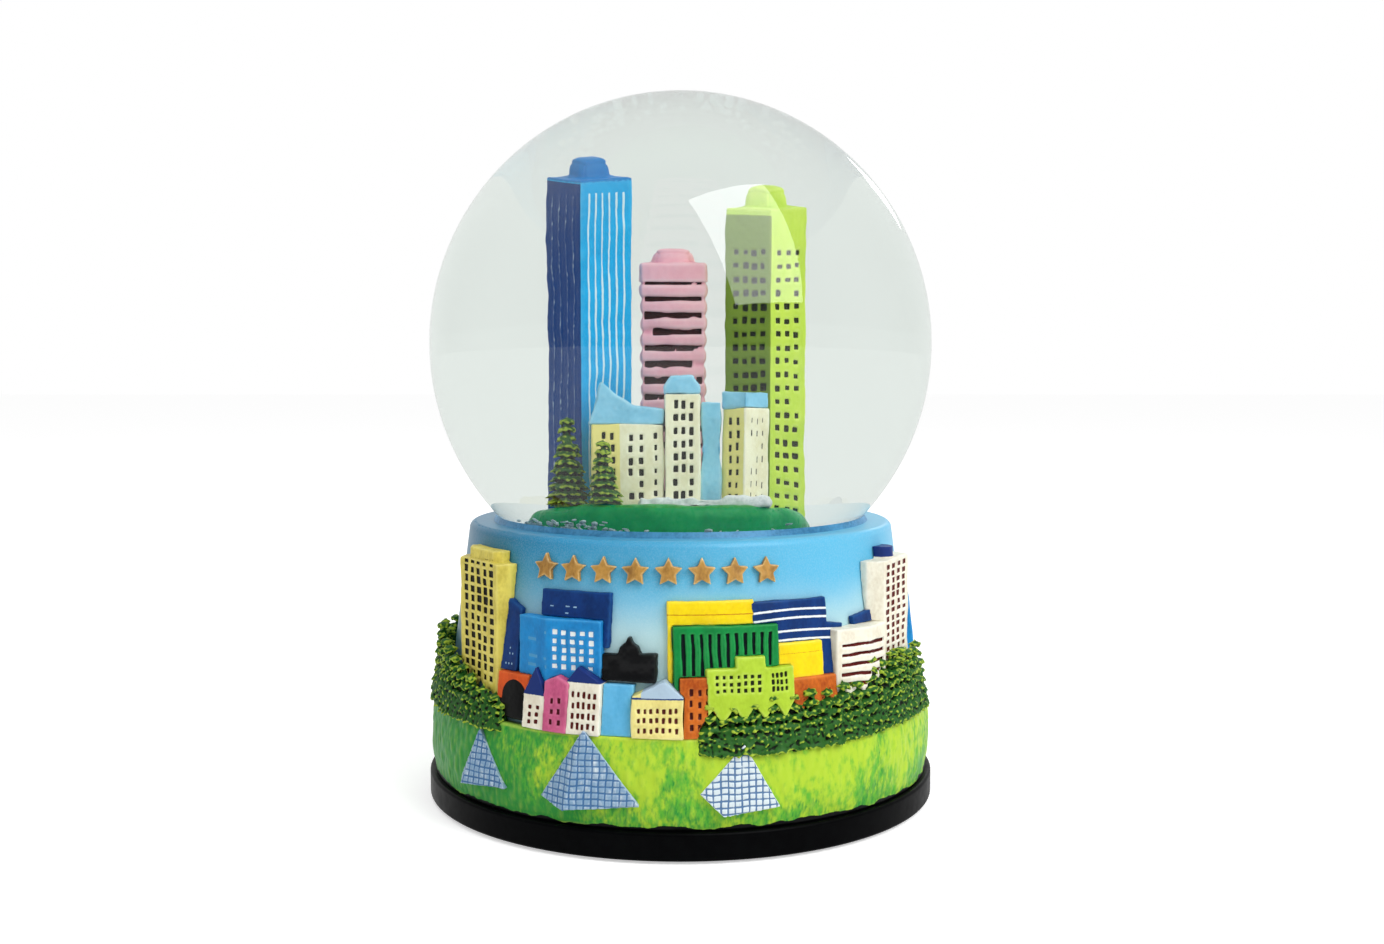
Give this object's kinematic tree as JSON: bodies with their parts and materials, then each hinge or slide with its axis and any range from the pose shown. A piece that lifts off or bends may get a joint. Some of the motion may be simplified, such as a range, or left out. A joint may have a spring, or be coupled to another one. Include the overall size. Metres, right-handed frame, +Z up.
{
  "type": "snow globe",
  "caption": "Water-filled glass snow globe with coloured city towers inside, on a round cast base with a painted skyline, trees and pyramids in relief.",
  "frame": {"origin": "centre of the felt's underside, at the bottom of the object", "axes": "+Z up along the globe's axis, front of the object towards -Y"},
  "size_m": [0.066, 0.0661, 0.0907],
  "materials": {
    "globe_glass": "clear, polished",
    "globe_liquid": "clear liquid",
    "snow": "white plastic flakes",
    "stopper_rubber": "matte",
    "cement": "matte",
    "sealant": "gloss",
    "sky_paint": "satin, sprayed gradient",
    "grass_paint": "satin, brushed",
    "foot_black": "gloss",
    "felt": "matte",
    "gold_paint": "metallic gloss",
    "ground_green": "gloss",
    "blue_paint": "satin",
    "pink_paint": "satin",
    "lime_paint": "satin",
    "cream_paint": "satin",
    "white_paint": "satin",
    "light_blue_paint": "satin",
    "navy_paint": "satin",
    "orange_paint": "satin",
    "yellow_paint": "satin",
    "green_paint": "satin",
    "black_paint": "satin",
    "tree_paint": "satin, drybrushed",
    "pyramid_paint": "satin, drybrushed"
  },
  "bodies": {
    "root": {"base_drum": "sky_paint", "black_domed_hall": "black_paint", "blue_tower": "blue_paint", "blue_two_faced_block": "blue_paint", "centre_pyramid": "pyramid_paint", "cream_house": "cream_paint", "cream_tower": "cream_paint", "felt_pad": "felt", "foot_plate": "foot_black", "glass_globe": "globe_glass", "gold_stars": "gold_paint", "grass_skirt": "grass_paint", "green_ribbed_block": "green_paint", "ground_disc": "ground_green", "hotel_centre_cap": "light_blue_paint", "hotel_centre_tower": "white_paint", "hotel_east_roof": "light_blue_paint", "hotel_east_wing": "cream_paint", "hotel_link": "light_blue_paint", "hotel_west_roof": "light_blue_paint", "hotel_west_wing": "white_paint", "left_pyramid": "pyramid_paint", "left_tree_belt": "tree_paint", "light_blue_block": "light_blue_paint", "lime_tower": "lime_paint", "lime_town_hall": "lime_paint", "liquid_fill": "globe_liquid", "navy_side_block": "navy_paint", "navy_slab": "navy_paint", "navy_slim_tower": "navy_paint", "neck_cement": "cement", "neck_stopper": "stopper_rubber", "orange_archway": "orange_paint", "orange_block": "orange_paint", "orange_house": "orange_paint", "pink_house": "pink_paint", "pink_tower": "pink_paint", "rear_blue_tower": "blue_paint", "rear_cream_hall": "cream_paint", "rear_green_block": "green_paint", "rear_navy_tower": "navy_paint", "rear_orange_houses": "orange_paint", "rear_pink_house": "pink_paint", "rear_tree_belt": "tree_paint", "rear_white_tower": "white_paint", "rear_yellow_block": "yellow_paint", "right_pyramid": "pyramid_paint", "right_tree_belt": "tree_paint", "sealant_bead": "sealant", "short_conifer": "tree_paint", "snow_bank": "snow", "snow_flakes": "snow", "striped_tower": "navy_paint", "tall_conifer": "tree_paint", "white_apartments": "white_paint", "white_cottage": "white_paint", "white_terraced_block": "white_paint", "white_tower": "white_paint", "yellow_block": "yellow_paint", "yellow_slab": "yellow_paint"}
  },
  "joints": []
}
